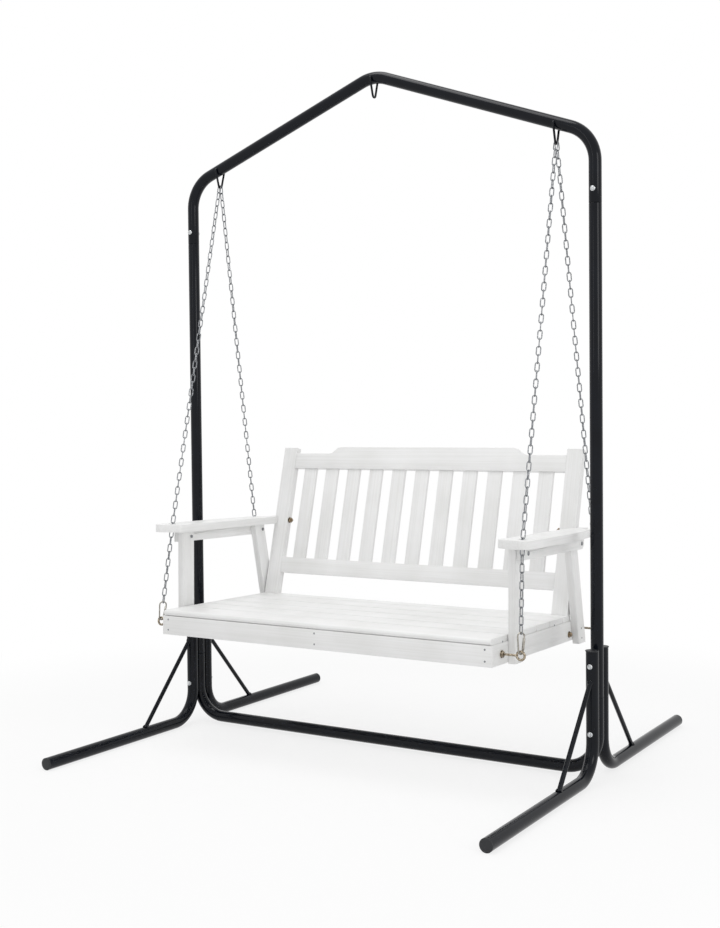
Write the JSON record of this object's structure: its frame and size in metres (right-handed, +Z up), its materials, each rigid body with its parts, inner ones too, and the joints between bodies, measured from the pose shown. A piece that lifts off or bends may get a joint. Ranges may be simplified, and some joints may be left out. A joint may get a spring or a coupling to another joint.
{
  "type": "garden swing chair",
  "caption": "Slatted white painted garden bench with armrests, hung by chains and wire hooks from a free-standing dark steel tube frame with a gabled top and splayed feet.",
  "frame": {"origin": "on the floor, at the centre of the footprint of the whole object", "axes": "+X along the bench to the sitter's left, which is the right side of the swing as seen from the front; -Y is the front of the seat; +Z up"},
  "size_m": [1.5364, 1.486, 2.1766],
  "materials": {
    "powder_coated_steel": "gloss charcoal powder coat",
    "white_painted_wood": "satin white paint on boards",
    "galvanised_steel": "galvanised, slightly dull",
    "yellow_zinc_steel": "yellow zinc plating"
  },
  "bodies": {
    "stand": {"top_tube": "powder_coated_steel", "left_upright": "powder_coated_steel", "right_upright": "powder_coated_steel", "base_bar": "powder_coated_steel", "left_rear_foot": "powder_coated_steel", "right_rear_foot": "powder_coated_steel", "left_front_foot": "powder_coated_steel", "right_front_foot": "powder_coated_steel", "left_wire_hook": "powder_coated_steel", "right_wire_hook": "powder_coated_steel"},
    "centre_hook": {"centre_wire_hook": "powder_coated_steel"},
    "bench": {"apron": "white_painted_wood", "under_seat_frame": "white_painted_wood", "left_side_rail": "white_painted_wood", "right_side_rail": "white_painted_wood", "seat_slat_1": "white_painted_wood", "seat_slat_2": "white_painted_wood", "seat_slat_3": "white_painted_wood", "seat_slat_4": "white_painted_wood", "seat_slat_5": "white_painted_wood", "seat_slat_6": "white_painted_wood", "left_back_post": "white_painted_wood", "right_back_post": "white_painted_wood", "back_bottom_rail": "white_painted_wood", "back_top_rail": "white_painted_wood", "back_slat_1": "white_painted_wood", "back_slat_2": "white_painted_wood", "back_slat_3": "white_painted_wood", "back_slat_4": "white_painted_wood", "back_slat_5": "white_painted_wood", "back_slat_6": "white_painted_wood", "back_slat_7": "white_painted_wood", "back_slat_8": "white_painted_wood", "back_slat_9": "white_painted_wood", "back_slat_10": "white_painted_wood", "back_slat_11": "white_painted_wood", "left_arm_post": "white_painted_wood", "right_arm_post": "white_painted_wood", "left_arm_leg": "white_painted_wood", "right_arm_leg": "white_painted_wood", "left_arm_bearer": "white_painted_wood", "right_arm_bearer": "white_painted_wood", "left_armrest": "white_painted_wood", "right_armrest": "white_painted_wood", "left_front_eye_bolt": "yellow_zinc_steel", "left_rear_eye_bolt": "yellow_zinc_steel", "right_front_eye_bolt": "yellow_zinc_steel", "right_rear_eye_bolt": "yellow_zinc_steel", "left_front_chain": "galvanised_steel", "left_rear_chain": "galvanised_steel", "right_front_chain": "galvanised_steel", "right_rear_chain": "galvanised_steel", "left_front_snap_hook": "yellow_zinc_steel", "left_rear_snap_hook": "yellow_zinc_steel", "right_front_snap_hook": "yellow_zinc_steel", "right_rear_snap_hook": "yellow_zinc_steel"},
    "left_front_gate": {"left_front_gate": "yellow_zinc_steel"},
    "left_rear_gate": {"left_rear_gate": "yellow_zinc_steel"},
    "right_front_gate": {"right_front_gate": "yellow_zinc_steel"},
    "right_rear_gate": {"right_rear_gate": "yellow_zinc_steel"}
  },
  "joints": [
    {"name": "swing", "type": "hinge", "parent": "stand", "child": "bench", "pos_m": [0, 0, 1.88184], "axis": [1, 0, 0], "range_deg": [-20, 20]},
    {"name": "centre_hook_turn", "type": "hinge", "parent": "stand", "child": "centre_hook", "pos_m": [0, 0, 2.1576], "axis": [0, 1, 0], "range_deg": [-30, 30]},
    {"name": "left_front_gate_turn", "type": "hinge", "parent": "bench", "child": "left_front_gate", "pos_m": [-0.64379, -0.30819, 0.42228], "axis": [0.8655, -0.4997, 0.0364], "range_deg": [0, 20], "stiffness_Nm_per_rad": 0.02, "springref_deg": -20.05},
    {"name": "left_rear_gate_turn", "type": "hinge", "parent": "bench", "child": "left_rear_gate", "pos_m": [-0.64426, 0.27051, 0.41453], "axis": [0.8635, -0.4986, -0.0756], "range_deg": [0, 20], "stiffness_Nm_per_rad": 0.02, "springref_deg": -20.05},
    {"name": "right_front_gate_turn", "type": "hinge", "parent": "bench", "child": "right_front_gate", "pos_m": [0.65155, -0.30818, 0.42263], "axis": [0.8603, -0.4967, 0.1143], "range_deg": [0, 20], "stiffness_Nm_per_rad": 0.02, "springref_deg": -20.05},
    {"name": "right_rear_gate_turn", "type": "hinge", "parent": "bench", "child": "right_rear_gate", "pos_m": [0.65206, 0.27052, 0.41439], "axis": [0.8612, -0.4972, -0.1059], "range_deg": [0, 20], "stiffness_Nm_per_rad": 0.02, "springref_deg": -20.05}
  ]
}
